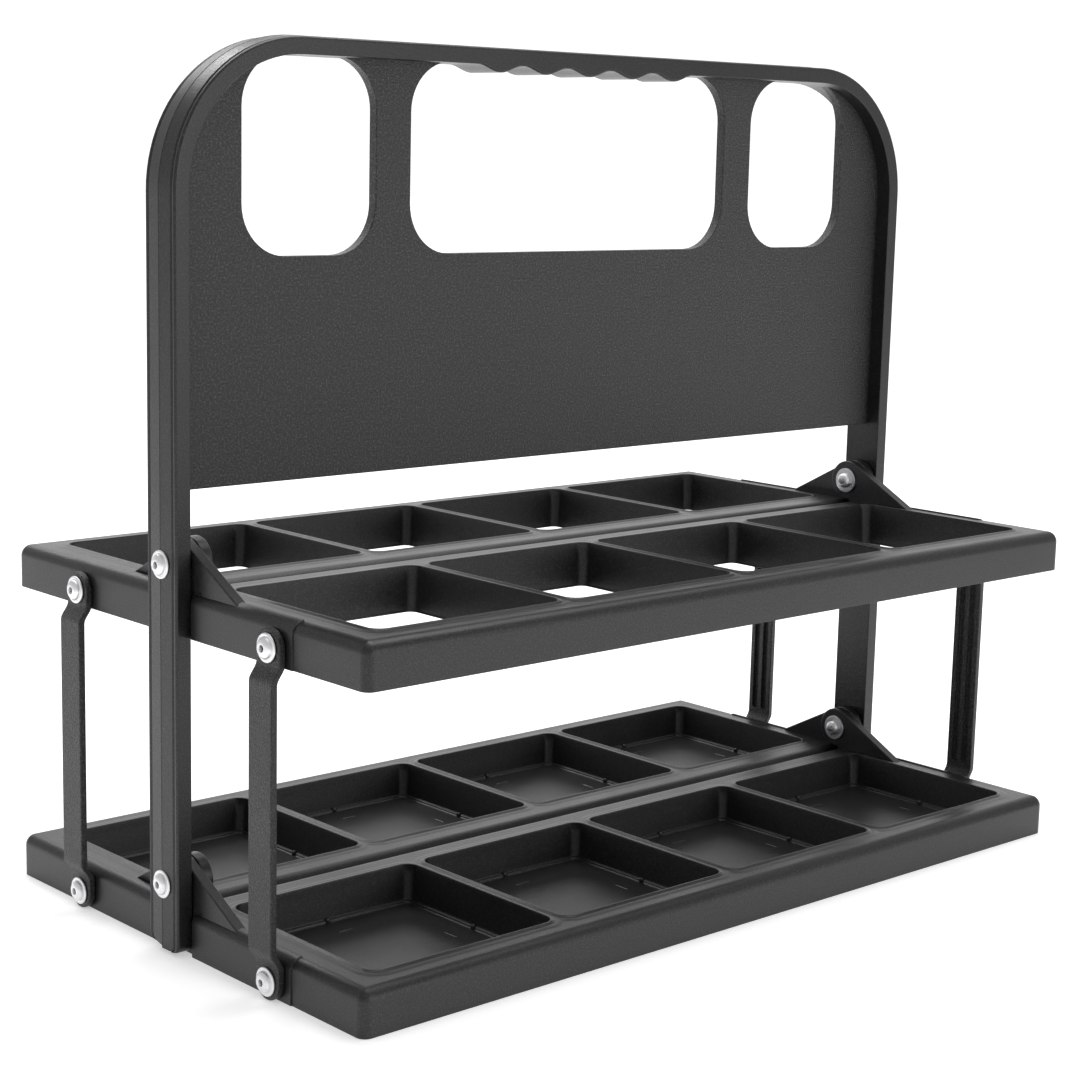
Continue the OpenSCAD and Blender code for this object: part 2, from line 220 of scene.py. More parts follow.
def fillet_polygon(corners, d=0.0, steps=5):
    """Loop through (x, y, radius) corners, each side moved inwards by d, each corner rounded."""
    base = [(c[0], c[1]) for c in corners]
    moved = offset_polygon(base, d)
    n = len(moved)
    out = []
    for i in range(n):
        p, a, b = Vector(moved[i]), Vector(moved[i - 1]), Vector(moved[(i + 1) % n])
        u, v = (p - a).normalized(), (b - p).normalized()
        turn = u.x * v.y - u.y * v.x
        if abs(turn) < 1e-6:
            out.append(tuple(p))
            continue
        r = max(0.25, corners[i][2] - d) if turn > 0 else corners[i][2] + d
        half = math.acos(max(-1.0, min(1.0, u.dot(v)))) / 2
        t = r * math.tan(half)
        start, end = p - u * t, p + v * t
        centre = start + Vector((-u.y, u.x)) * (r if turn > 0 else -r)
        a0 = math.atan2(start.y - centre.y, start.x - centre.x)
        a1 = math.atan2(end.y - centre.y, end.x - centre.x)
        if turn > 0 and a1 < a0:
            a1 += 2 * math.pi
        if turn < 0 and a1 > a0:
            a1 -= 2 * math.pi
        out += arc(centre.x, centre.y, r, a0, a1, steps)
    return out


def at_z(points, z):
    return [(x, y, z) for x, y in points]


# ---------------------------------------------------------------- trays
def tray_outline(d=0.0):
    """Plan of a front half, moved inwards by d, with its two leg notches."""
    notch = OUTER_EAR
    notch_y = -(BAND_D + 1)
    end = TRAY_X - PROUD
    corners = [
        (notch, -SEAM, 1.2),
        (-notch, -SEAM, 1.2),
        (-notch, notch_y, 0.3),
        (-end, notch_y, 1.0),
        (-end, STEP_Y + 0.07, 0),
        (-end, STEP_Y - 0.07, 0),
        (-end, -TRAY_Y, 3.8),
        (end, -TRAY_Y, 3.8),
        (end, STEP_Y - 0.07, 0),
        (end, STEP_Y + 0.07, 0),
        (end, notch_y, 1.0),
        (notch, notch_y, 0.3),
    ]
    return fillet_polygon(corners, d)


def skirt_ring(d, z, lean=0.0):
    """The outline at height z, with the middle of each end standing proud, square to its surface."""
    out = []
    for x, y in tray_outline(d):
        proud = PROUD if STEP_Y < y < -BAND_D - 0.8 and abs(x) > OUTER_EAR - EDGE - 1 else 0.0
        out.append((x + math.copysign(proud * math.cos(lean), x), y, z + proud * math.sin(lean)))
    return out


def collar_outline(o):
    """Plan of the raised collar round all the cells, o outside their rims."""
    r = RIM_R + o
    half = PITCH / 2 - (CELL_X - RIM_R)
    cut = math.acos(min(1.0, half / r))
    q = math.pi / 2
    out = []
    for row, back in ((1, True), (-1, False)):
        order = range(CELLS - 1, -1, -1) if back else range(CELLS)
        for i in order:
            cx = (i - (CELLS - 1) / 2) * PITCH
            first = i == (CELLS - 1 if back else 0)
            last = i == (0 if back else CELLS - 1)
            sx = 1 if back else -1
            y = CENTRE_Y + row * (CELL_Y - RIM_R)
            base = 0.0 if back else math.pi
            a0 = base if first else base + cut
            a1 = base + 2 * q if last else base + 2 * q - cut
            out += arc(cx + sx * (CELL_X - RIM_R), y, r, a0, base + q)
            out += arc(cx - sx * (CELL_X - RIM_R), y, r, base + q, a1)[: None if last else -1]
    return out


def ear_outline():
    rise = HINGE - DECK
    far = math.hypot(EAR_FOOT, rise)
    slope = math.atan2(rise, EAR_FOOT) + math.asin(EAR_R / far)
    top = math.pi / 2 + slope
    loop = [(-EAR_FOOT - 0.6, DECK - 0.2), (-EAR_FOOT - 0.6, DECK - 2.0)]
    loop += [(-9.0, DECK - 3.0), (-2.2, DECK - 3.2)]
    loop += arc(0, HINGE, EAR_R, math.radians(-100), top, 30)
    return loop


def rounding(bevel, steps=4):
    """(inwards, down) pairs from a side face to the face it rounds into."""
    angles = [math.pi / 2 * k / steps for k in range(steps + 1)]
    return [(bevel * (1 - math.cos(a)), bevel * (1 - math.sin(a))) for a in angles]


def plate(outline, x0, x1, bevel=0.6):
    """A plate drawn in the Y-Z plane between x0 and x1, with rounded edges."""
    shell = Shell()
    edge = [(offset_polygon(outline, inw), down) for inw, down in rounding(bevel)]
    near = [[(x0 + down, y, z) for y, z in loop] for loop, down in edge]
    far = [[(x1 - down, y, z) for y, z in loop] for loop, down in edge]
    made = shell.stack(near[::-1] + far)
    shell.fill(made[0], axes=(1, 2), flip=True)
    shell.fill(made[-1], axes=(1, 2))
    return shell


def tray_shell(floored):
    """One front half of a tray at the lower tier's height, as a closed moulding."""
    shell = Shell()
    # outer skirt, rounded into the deck
    outside = [skirt_ring(0.3, 0.0), skirt_ring(0.08, 0.08), skirt_ring(0.0, 0.3)]
    outside += [skirt_ring(0.0, z) for z in (5.0, 9.0)]
    for k in range(10):
        lean = math.pi / 2 * k / 9
        outside.append(skirt_ring(EDGE * (1 - math.cos(lean)), DECK - EDGE * (1 - math.sin(lean)), lean))
    outside.append(at_z(tray_outline(EDGE + 0.1), DECK))
    skin = shell.stack(outside)
    # soft foot of the collar round the cells
    collar = shell.stack([
        at_z(collar_outline(o), DECK + up)
        for o, up in ((5.2, 0.0), (4.8, 0.02), (4.3, 0.07), (3.8, 0.14), (3.4, 0.18), (3.0, 0.2))
    ])
    shell.fill(skin[-1], [collar[0]])
    # cells: beaded rim, drafted wall, floor or open foot
    rims, feet = [], []
    base = 0.8 if floored else 0.0
    for i in range(CELLS):
        cx = (i - (CELLS - 1) / 2) * PITCH

        def loop(inset, z, r, cx=cx):
            return at_z(rounded_rect(cx, CENTRE_Y, CELL_X - inset, CELL_Y - inset, r), z)

        inner = [loop(-2.2, DECK + 0.2, 7.2), loop(-1.8, RIM - 0.42, 6.8), loop(-1.35, RIM - 0.27, 6.35),
                 loop(-0.95, RIM - 0.1, 5.95), loop(-0.6, RIM - 0.01, 5.6), loop(-0.35, RIM, 5.35),
                 loop(-0.12, RIM - 0.06, 5.12), loop(0.0, RIM - 0.2, 5.0), loop(0.06, RIM - 0.5, 4.8),
                 loop(0.3, RIM - 2.0, 3.9), loop(0.55, RIM - 4.0, 3.5)]
        if floored:
            ledge = ((2.1, 1.5, 3.3), (2.3, 1.15, 3.3), (3.0, 1.0, 3.2), (3.3, 0.85, 3.2),
                     (3.5, 0.3, 3.0), (3.9, 0.05, 2.8), (4.6, 0.0, 2.4), (12, 0.0, 2.0))
            inner += [loop(inset, FLOOR + up, r) for inset, up, r in ledge]
        else:
            inner += [loop(2.25, 0.9, 3.3), loop(2.35, 0.4, 3.3), loop(2.6, 0.1, 3.3), loop(2.9, 0.0, 3.2)]
        made = [shell.ring(r) for r in inner]
        for a, b in zip(made, made[1:]):
            shell.bridge(b, a)
        rims.append(made[0])
        # under side of the cell wall
        under = [shell.ring(r) for r in (loop(-1.4, DECK - WALL, 6.4), loop(0.2, base, 4.8))]
        shell.bridge(under[0], under[1])
        if floored:
            shell.fill(made[-1])
            shell.fill(under[-1], flip=True)
        else:
            shell.bridge(under[-1], made[-1])
        feet.append(under[0])
    # between the rims and the collar's foot
    shell.fill(collar[-1], rims)
    # under side of the skirt and deck
    inside_rings = [shell.ring(skirt_ring(0.3, 0.0))]
    inside_rings += [shell.ring(at_z(tray_outline(WALL + 0.4), z)) for z in (0.0, 4.0, DECK - WALL)]
    shell.bridge(inside_rings[0], inside_rings[1])
    shell.bridge(inside_rings[1], inside_rings[2])
    shell.bridge(inside_rings[2], inside_rings[3])
    shell.fill(inside_rings[-1], feet, flip=True)
    # ears
    shell.add(plate(ear_outline(), -OUTER_EAR, -OUTER_EAR + EAR_T))
    shell.add(plate(ear_outline(), INNER_EAR - EAR_T, INNER_EAR))
    if floored:
        for i in range(CELLS):
            shell.add(cell_nubs((i - (CELLS - 1) / 2) * PITCH))
    return shell


def cell_nubs(cx):
    """A small round nub at the middle of each of a cell's walls, and a low ridge on the floor by it."""
    shell = Shell()
    for turn in range(4):
        reach = (CELL_X if turn % 2 == 0 else CELL_Y) - 3.0
        m = Matrix.Translation((cx, CENTRE_Y, 0)) @ Matrix.Rotation(turn * math.pi / 2, 4, "Z")
        nub = Shell()
        rings = []
        for k in range(7):
            a = math.pi / 2 * k / 6.5
            r = 1.15 * math.cos(a)
            rings.append(at_z(rounded_rect(reach, 0, r, r, r - 0.01, 4), FLOOR + 0.9 + 1.0 * math.sin(a)))
        rings.insert(0, at_z(rounded_rect(reach, 0, 1.15, 1.15, 1.14, 4), FLOOR - 0.1))
        made = nub.stack(rings)
        nub.fill(made[-1])
        ridge = [at_z(rounded_rect(reach - 11, 0, 0.6 - d, 3.5 - d, 0.55 - d, 4), z)
                 for d, z in ((0.0, FLOOR - 0.1), (0.06, FLOOR + 0.15), (0.3, FLOOR + 0.3))]
        made = nub.stack(ridge)
        nub.fill(made[-1])
        shell.add(nub, m)
    return shell


# ---------------------------------------------------------------- handle frame
def band_profile():
    """Half section of the band as (outwards, across) points, from the crown to the inner face."""
    d, t = BAND_D, BAND_T
    half = [(t + 0.79, 0.1), (t + 0.68, 0.2), (t + 0.65, 0.45), (t + 0.25, d - 2.8), (t + 0.1, d - 2.6)]
    half += [(t - 0.2, d - 2.35), (t - 0.28, d - 2.1), (t - 0.15, d - 1.85), (t + 0.05, d - 1.6)]
    for degrees in (8, 28, 48, 68, 88):
        a = math.radians(degrees)
        half.append((t - 0.8 + math.cos(a), d - 1 + math.sin(a)))
    half += [(t - 1.2, d - 0.04), (0.55, d - 0.04), (0.25, d - 0.1), (0.07, d - 0.28), (0.0, d - 0.6)]
    return half


def foot_lift(y, z):
    """A leg's bottom edge rises towards the rear, with a small step at the parting line."""
    rise = 0.65 * (1 + y / BAND_D) if y < 0 else 1.45 + 1.1 * y / BAND_D
    return rise * max(0.0, 1 - (z - LEG_FOOT) / 16)


def frame_shell():
    shell = Shell()
    half = band_profile()
    section = [(u, -v) for u, v in half] + [(u, v) for u, v in reversed(half)]
    inner = CORNER_R - BAND_T
    turn_x = LEG_IN + BAND_T - CORNER_R
    turn_z = TOP - CORNER_R
    stations = []
    foot = 3.0
    for k in range(7):
        a = math.pi / 2 * k / 6
        place = (-LEG_IN, LEG_FOOT + foot * (1 - math.sin(a)))
        stations.append((place, (-1, 0), BAND_D - foot * (1 - math.cos(a))))
    stations.reverse()
    straight = turn_z - LEG_FOOT - foot
    stations += [((-LEG_IN, LEG_FOOT + foot + straight * k / 12), (-1, 0), BAND_D) for k in range(1, 12)]
    for k in range(25):
        a = math.pi - math.pi / 2 * k / 24
        n = (math.cos(a), math.sin(a))
        stations.append(((-turn_x + inner * n[0], turn_z + inner * n[1]), n, BAND_D))
    stations += [((turn_x * k / 6, turn_z + inner), (0, 1), BAND_D) for k in range(-5, 1)]
    mirrored = [((-p[0], p[1]), (-n[0], n[1]), d) for p, n, d in reversed(stations[:-1])]
    rings = []
    for p, n, d in stations + mirrored:
        ring = []
        for u, v in section:
            y = math.copysign(min(abs(v), abs(v) * d / BAND_D if abs(v) < 1 else abs(v) - (BAND_D - d)), v)
            z = p[1] + n[1] * u
            ring.append((p[0] + n[0] * u, y, z + (foot_lift(y, z) if n[1] == 0 else 0)))
        rings.append(ring)
    made = shell.stack(rings)
    shell.fill(made[0], axes=(0, 1))
    shell.fill(made[-1], axes=(0, 1))
    shell.add(web_shell(inner, turn_z), grained=True)
    shell.add(grip_shell())
    return shell


def web_shell(inner, turn_z):
    """The web: a flat plate with three windows, all edges rounded."""
    shell = Shell()
    side = LEG_IN + 1.0
    top = UNDER + 1.0
    r = inner + 1.0

    def outline(d):
        loop = [(-side, WEB_Z + d), (side, WEB_Z + d)]
        loop += arc(side - r, top - r, r, 0, math.pi / 2, 14)
        loop += arc(-side + r, top - r, r, math.pi / 2, math.pi, 14)
        return loop

    def window(x0, x1, d):
        cx, hx = (x0 + x1) / 2, (x1 - x0) / 2
        high = UNDER + 0.4
        return rounded_rect(cx, (SILL + high) / 2, hx + d, (high - SILL) / 2 + d, 19 + d, 12)

    spans = ((-162, -101.9), (-85.3, 85.3), (101.9, 162))
    b = 0.5
    steps = [(inw, WEB_T - down) for inw, down in rounding(b)]
    steps.insert(0, (0, 0.0))
    for face in (-1, 1):
        outer = [shell.ring([(x, face * y, z) for x, z in outline(d)]) for d, y in steps]
        for a, c in zip(outer, outer[1:]):
            shell.bridge(a, c) if face < 0 else shell.bridge(c, a)
        holes = []
        for x0, x1 in spans:
            rings = [shell.ring([(x, face * y, z) for x, z in window(x0, x1, d)]) for d, y in steps]
            for a, c in zip(rings, rings[1:]):
                shell.bridge(c, a) if face < 0 else shell.bridge(a, c)
            holes.append(rings[-1])
        shell.fill(outer[-1], holes, axes=(0, 2), flip=face > 0)
    return shell


def grip_shell():
    """Five finger bumps under the band, across its whole depth."""
    shell = Shell()
    reach = BUMPS * GRIP_PITCH / 2
    n = 90
    edge = [(BAND_D - 0.02 - inw, down) for inw, down in rounding(0.9)]
    lines = [(-y, up) for y, up in edge] + [(y, up) for y, up in reversed(edge)]
    made = []
    for y, up in lines:
        row = []
        for k in range(n + 1):
            x = -reach + 2 * reach * k / n
            z = UNDER - GRIP_DROP * (1 + math.cos(2 * math.pi * x / GRIP_PITCH)) / 2
            row.append((x, y, min(z + up, UNDER + 0.3 + up * 0.2)))
        made.append(shell.ring(row))
    for a, c in zip(made, made[1:]):
        shell.bridge(c, a, closed=False)
    lid = shell.ring([(x, y, UNDER + 1.0) for x, y, z in (shell.verts[i] for i in made[0])])
    shell.bridge(made[0], lid, closed=False)
    lid = shell.ring([(x, y, UNDER + 1.0) for x, y, z in (shell.verts[i] for i in made[-1])])
    shell.bridge(lid, made[-1], closed=False)
    return shell


# ---------------------------------------------------------------- links
LINK_R = EYE_Z
LINK_T = 2.7
EYE_X = TRAY_X + 0.2
JOGGLE = 3.2


def link_shell():
    """Side link for the right end, on its own centre line: eyes close in, strap further out."""
    shell = Shell()
    low, high = EYE_Z, EYE_Z + TIER
    bends = [low + 5.5 + 6.5 * k / 6 for k in range(7)]
    bends += [high - 5.5 - 6.5 * k / 6 for k in range(6, -1, -1)]

    def shift(z):
        t = (z - low - 5.5) / 6.5 if z < (low + high) / 2 else (high - 5.5 - z) / 6.5
        t = max(0.0, min(1.0, t))
        return JOGGLE * t * t * (3 - 2 * t)

    def outline(d):
        r = LINK_R - d
        loop = arc(0, low, r, -math.pi, 0, 24)
        side = sorted(bends + [low + 20, (low + high) / 2, high - 20])
        loop += [(r, z) for z in side]
        loop += arc(0, high, r, 0, math.pi, 24)
        loop += [(-r, z) for z in reversed(side)]
        return loop

    def layer(d, x):
        return [(x + shift(z), y, z) for y, z in outline(d)]

    edge = rounding(0.55)
    inner = [layer(inw, EYE_X + down) for inw, down in edge]
    outer = [layer(inw, EYE_X + LINK_T - down) for inw, down in edge]
    made = shell.stack(inner[::-1] + outer)
    side = sorted(bends)

    def cross_lines(x):
        extra, lines = [], []
        for z in side:
            line = shell.ring([(x + shift(z), y, z) for y in (-5.4, 5.4)])
            extra += line
            lines.append((line[0], line[1]))
        return extra, lines

    grooves = []
    for s in (-1, 1):
        centre = s * 2.75
        loops = []
        for d, x in ((0.0, 0.0), (0.12, 0.25), (0.35, 1.2), (0.6, 1.4)):
            r = 1.2 - d
            flat = rounded_rect(centre, (low + high) / 2, 1.65 - d, TIER / 2 - 14 - d, r, 4)
            loops.append([(EYE_X + JOGGLE + x, y, z) for y, z in flat])
        rings = [shell.ring(r) for r in loops]
        for a, c in zip(rings, rings[1:]):
            shell.bridge(a, c)
        shell.fill(rings[-1], axes=(1, 2), flip=True)
        grooves.append(rings[0])
    extra, lines = cross_lines(EYE_X)
    shell.fill(made[0], grooves, extra=extra, lines=lines, axes=(1, 2), flip=True)
    extra, lines = cross_lines(EYE_X + LINK_T)
    shell.fill(made[-1], extra=extra, lines=lines, axes=(1, 2))
    return shell


# ---------------------------------------------------------------- rivets
def lathe(profile, steps=48):
    """Turns (x, radius) points about the X axis."""
    shell = Shell()
    angles = [2 * math.pi * k / steps for k in range(steps)]
    shell.stack([[(x, r * math.cos(a), r * math.sin(a)) for a in angles] for x, r in profile])
    return shell


def rivet_shell(grip):
    """Set blind rivet: its head's underside at x = 0, its tail at -grip."""
    head = [(-0.15, 2.4), (0.02, 2.7), (0.02, 4.95), (0.1, 5.15), (0.28, 5.25), (0.5, 5.22), (0.68, 5.08)]
    head += [(0.78, 4.85), (0.82, 4.2), (0.76, 4.04), (0.82, 3.92), (1.0, 3.88), (1.35, 3.82), (1.7, 3.62)]
    head += [(2.02, 3.25), (2.3, 2.7), (2.48, 2.1), (2.55, 1.7), (2.55, 1.48), (2.48, 1.34)]
    head += [(2.3, 1.25), (1.1, 1.2)]
    tail = [(-grip - 2.38, 1.32), (-grip - 2.4, 2.0), (-grip - 2.1, 2.75), (-grip - 1.5, 3.2)]
    tail += [(-grip - 0.9, 3.35), (-grip - 0.3, 3.2), (-grip, 2.9), (-grip, 2.4)]
    return lathe(tail + head)


def mandrel_shell(grip):
    """Stub of the mandrel: its torn end inside the head, and its wider end behind the tail."""
    profile = [(-grip - 3.5, 0.01), (-grip - 3.47, 0.8), (-grip - 3.3, 1.2), (-grip - 3.0, 1.4)]
    profile += [(-grip - 2.6, 1.42), (-grip - 2.42, 1.35), (-grip - 2.4, 1.3), (0.5, 1.29)]
    profile += [(0.85, 1.2), (1.0, 1.0), (1.02, 0.75), (0.94, 0.5), (1.0, 0.25), (1.03, 0.01)]
    return lathe(profile, 32)


def washer_shell():
    face = [(0.25, 5.7), (0.42, 5.6), (0.5, 5.4), (0.5, 2.4)]
    return lathe([(-x, r) for x, r in reversed(face)] + face)


# ---------------------------------------------------------------- materials
def socket(node, name, value):
    node.inputs[name].default_value = value


# a colour Mix node's A and B inputs, and its Result output
MIX_A, MIX_B, MIX_OUT = 6, 7, 2


def plastic(name, base, rough, grain, grain_size, depth=0.00025):
    """Black moulded plastic: uneven gloss and tint, fine grain whose peaks are painted lighter as glints
    of light, faint scuffs.
    """
    mat = bpy.data.materials.new(name)
    mat.use_nodes = True
    nodes, links = mat.node_tree.nodes, mat.node_tree.links
    bsdf = nodes["Principled BSDF"]
    coords = nodes.new("ShaderNodeTexCoord")
    broad = nodes.new("ShaderNodeTexNoise")
    socket(broad, "Scale", 22.0)
    socket(broad, "Detail", 5.0)
    socket(broad, "Roughness", 0.55)
    links.new(coords.outputs["Object"], broad.inputs["Vector"])
    fine = nodes.new("ShaderNodeTexNoise")
    socket(fine, "Scale", grain_size)
    socket(fine, "Detail", 3.0)
    socket(fine, "Roughness", 0.6)
    links.new(coords.outputs["Object"], fine.inputs["Vector"])
    stretch = nodes.new("ShaderNodeMapping")
    stretch.inputs["Scale"].default_value = (60.0, 900.0, 300.0)
    stretch.inputs["Rotation"].default_value = (0.3, 0.2, 0.7)
    links.new(coords.outputs["Object"], stretch.inputs["Vector"])
    scuff = nodes.new("ShaderNodeTexNoise")
    socket(scuff, "Scale", 1.0)
    socket(scuff, "Detail", 2.0)
    links.new(stretch.outputs["Vector"], scuff.inputs["Vector"])
    marks = nodes.new("ShaderNodeMapRange")
    socket(marks, "From Min", 0.62)
    socket(marks, "From Max", 0.8)
    links.new(scuff.outputs["Fac"], marks.inputs["Value"])
    gloss = nodes.new("ShaderNodeMapRange")
    socket(gloss, "From Min", 0.3)
    socket(gloss, "From Max", 0.7)
    socket(gloss, "To Min", rough - 0.03)
    socket(gloss, "To Max", rough + 0.05)
    links.new(broad.outputs["Fac"], gloss.inputs["Value"])
    rougher = nodes.new("ShaderNodeMath")
    rougher.operation = "MULTIPLY_ADD"
    links.new(marks.outputs["Result"], rougher.inputs[0])
    rougher.inputs[1].default_value = 0.04
    links.new(gloss.outputs["Result"], rougher.inputs[2])
    links.new(rougher.outputs["Value"], bsdf.inputs["Roughness"])
    tint = nodes.new("ShaderNodeMix")
    tint.data_type = "RGBA"
    tint.inputs[MIX_A].default_value = (*base, 1.0)
    tint.inputs[MIX_B].default_value = (base[0] * 1.7, base[1] * 1.7, base[2] * 1.75, 1.0)
    spread = nodes.new("ShaderNodeMapRange")
    socket(spread, "From Min", 0.42)
    socket(spread, "From Max", 0.75)
    links.new(broad.outputs["Fac"], spread.inputs["Value"])
    links.new(spread.outputs["Result"], tint.inputs[0])
    # Painted highlight: the peaks of the fine grain are painted a lighter colour to stand in for glints of
    # light on the grain. The grain's real relief is the bump below.
    peaks = nodes.new("ShaderNodeMapRange")
    socket(peaks, "From Min", 0.48)
    socket(peaks, "From Max", 0.68)
    socket(peaks, "To Max", grain)
    links.new(fine.outputs["Fac"], peaks.inputs["Value"])
    painted_glints = nodes.new("ShaderNodeMix")
    painted_glints.data_type = "RGBA"
    links.new(peaks.outputs["Result"], painted_glints.inputs[0])
    links.new(tint.outputs[MIX_OUT], painted_glints.inputs[MIX_A])
    painted_glints.inputs[MIX_B].default_value = (0.07, 0.07, 0.072, 1.0)
    links.new(painted_glints.outputs[MIX_OUT], bsdf.inputs["Base Color"])
    bump = nodes.new("ShaderNodeBump")
    socket(bump, "Strength", grain)
    socket(bump, "Distance", depth)
    links.new(fine.outputs["Fac"], bump.inputs["Height"])
    links.new(bump.outputs["Normal"], bsdf.inputs["Normal"])
    socket(bsdf, "IOR", 1.5)
    return mat


def metal(name, base, rough, brushed):
    """Plain metal with small dents and uneven polish."""
    mat = bpy.data.materials.new(name)
    mat.use_nodes = True
    nodes, links = mat.node_tree.nodes, mat.node_tree.links
    bsdf = nodes["Principled BSDF"]
    coords = nodes.new("ShaderNodeTexCoord")
    cloud = nodes.new("ShaderNodeTexNoise")
    socket(cloud, "Scale", 420.0)
    socket(cloud, "Detail", 4.0)
    links.new(coords.outputs["Object"], cloud.inputs["Vector"])
    gloss = nodes.new("ShaderNodeMapRange")
    socket(gloss, "From Min", 0.3)
    socket(gloss, "From Max", 0.7)
    socket(gloss, "To Min", rough - 0.07)
    socket(gloss, "To Max", rough + 0.1)
    links.new(cloud.outputs["Fac"], gloss.inputs["Value"])
    links.new(gloss.outputs["Result"], bsdf.inputs["Roughness"])
    tint = nodes.new("ShaderNodeMix")
    tint.data_type = "RGBA"
    tint.inputs[MIX_A].default_value = (*base, 1.0)
    tint.inputs[MIX_B].default_value = (base[0] * 0.8, base[1] * 0.8, base[2] * 0.81, 1.0)
    links.new(cloud.outputs["Fac"], tint.inputs[0])
    links.new(tint.outputs[MIX_OUT], bsdf.inputs["Base Color"])
    dents = nodes.new("ShaderNodeTexNoise")
    socket(dents, "Scale", brushed)
    socket(dents, "Detail", 2.0)
    links.new(coords.outputs["Object"], dents.inputs["Vector"])
    bump = nodes.new("ShaderNodeBump")
    socket(bump, "Strength", 0.35)
    socket(bump, "Distance", 0.00015)
    links.new(dents.outputs["Fac"], bump.inputs["Height"])
    links.new(bump.outputs["Normal"], bsdf.inputs["Normal"])
    socket(bsdf, "Metallic", 1.0)
    return mat


FRAME_BLACK = plastic("frame_black", (0.004, 0.004, 0.0045), 0.33, 0.4, 1600.0)
WEB_BLACK = plastic("web_black", (0.004, 0.004, 0.0045), 0.33, 1.0, 1300.0, 0.0005)
TRAY_BLACK = plastic("tray_black", (0.003, 0.003, 0.0035), 0.35, 0.35, 1700.0)
LINK_BLACK = plastic("link_black", (0.003, 0.003, 0.0035), 0.37, 0.8, 1600.0, 0.0006)
ALUMINIUM = metal("rolled_aluminium", (0.9, 0.9, 0.91), 0.4, 700.0)
ZINC = metal("zinc_plate", (0.72, 0.73, 0.75), 0.32, 900.0)
STEEL = metal("dull_steel", (0.32, 0.32, 0.33), 0.45, 900.0)


# ---------------------------------------------------------------- assembly
HALF_TURN = Matrix.Rotation(math.pi, 4, "Z")
MIRROR_X = Matrix.Diagonal((-1, 1, 1, 1))


def placed(shell, matrix):
    out = Shell()
    out.add(shell, matrix)
    return out


def shift(x, y, z):
    return Matrix.Translation((x, y, z))


frame_shell().build(
    "handle_frame_body", FRAME_BLACK, "frame", ["handle_frame"], "frame_plastic", grain=WEB_BLACK)

for level, floored in (("upper", False), ("lower", True)):
    half = tray_shell(floored)
    for face in ("front", "rear"):
        turn = HALF_TURN if face == "rear" else Matrix.Identity(4)
        up = shift(0, 0, TIER if level == "upper" else 0)
        name = f"{level}_{face}_tray"
        placed(half, up @ turn).build(
            f"{name}_body", TRAY_BLACK, f"{level}_{face}_half", [name], "tray_plastic")

link = link_shell()
for face, sy in (("front", -1), ("rear", 1)):
    for end in ("left", "right"):
        side = MIRROR_X if end == "left" else Matrix.Identity(4)
        name = f"{face}_{end}_link"
        placed(link, shift(0, sy * LINK_Y, 0) @ side).build(
            f"{name}_body", LINK_BLACK, name, [name], "link_plastic")

HINGE_HEAD = LEG_IN + BAND_T + 0.4
WASHER_X = INNER_EAR - EAR_T - 0.6
HINGE_GRIP = HINGE_HEAD - WASHER_X + 0.5
LINK_HEAD = EYE_X + LINK_T + 0.2
LINK_GRIP = LINK_HEAD - TRAY_X + WALL + 0.4
for level in ("upper", "lower"):
    rise = TIER if level == "upper" else 0
    for end in ("left", "right"):
        side = MIRROR_X if end == "left" else Matrix.Identity(4)
        up = shift(0, 0, rise + HINGE)
        for kind, shell, x, material, finish in (
            ("rivet", rivet_shell(HINGE_GRIP), HINGE_HEAD, ALUMINIUM, "rivet_aluminium"),
            ("mandrel", mandrel_shell(HINGE_GRIP), HINGE_HEAD, STEEL, "mandrel_steel"),
            ("washer", washer_shell(), WASHER_X, ZINC, "washer_zinc"),
        ):
            name = f"{level}_{end}_hinge_{kind}"
            placed(shell, up @ side @ shift(x, 0, 0)).build(
                f"{name}_body", material, "frame", [name], finish)
        for face, sy in (("front", -1), ("rear", 1)):
            up_link = shift(0, sy * LINK_Y, rise + EYE_Z)
            for kind, shell, material, finish in (
                ("rivet", rivet_shell(LINK_GRIP), ALUMINIUM, "rivet_aluminium"),
                ("mandrel", mandrel_shell(LINK_GRIP), STEEL, "mandrel_steel"),
            ):
                name = f"{level}_{face}_{end}_link_{kind}"
                placed(shell, up_link @ side @ shift(LINK_HEAD, 0, 0)).build(
                    f"{name}_body", material, f"{level}_{face}_half", [name], finish)


# ---------------------------------------------------------------- stage
YAW, PITCH_DOWN, ROLL = math.radians(-42.299), math.radians(9.84), math.radians(1.344)


def floor_material():
    mat = bpy.data.materials.new("studio_floor")
    mat.use_nodes = True
    nodes, links = mat.node_tree.nodes, mat.node_tree.links
    bsdf = nodes["Principled BSDF"]
    coords = nodes.new("ShaderNodeTexCoord")
    noise = nodes.new("ShaderNodeTexNoise")
    socket(noise, "Scale", 3.0)
    links.new(coords.outputs["Object"], noise.inputs["Vector"])
    tint = nodes.new("ShaderNodeMapRange")
    socket(tint, "To Min", 0.88)
    socket(tint, "To Max", 0.9)
    links.new(noise.outputs["Fac"], tint.inputs["Value"])
    links.new(tint.outputs["Result"], bsdf.inputs["Base Color"])
    socket(bsdf, "Roughness", 0.8)
    socket(bsdf, "Specular IOR Level", 0.1)
    socket(bsdf, "Emission Color", (1.0, 1.0, 1.0, 1.0))
    socket(bsdf, "Emission Strength", 0.44)
    return mat


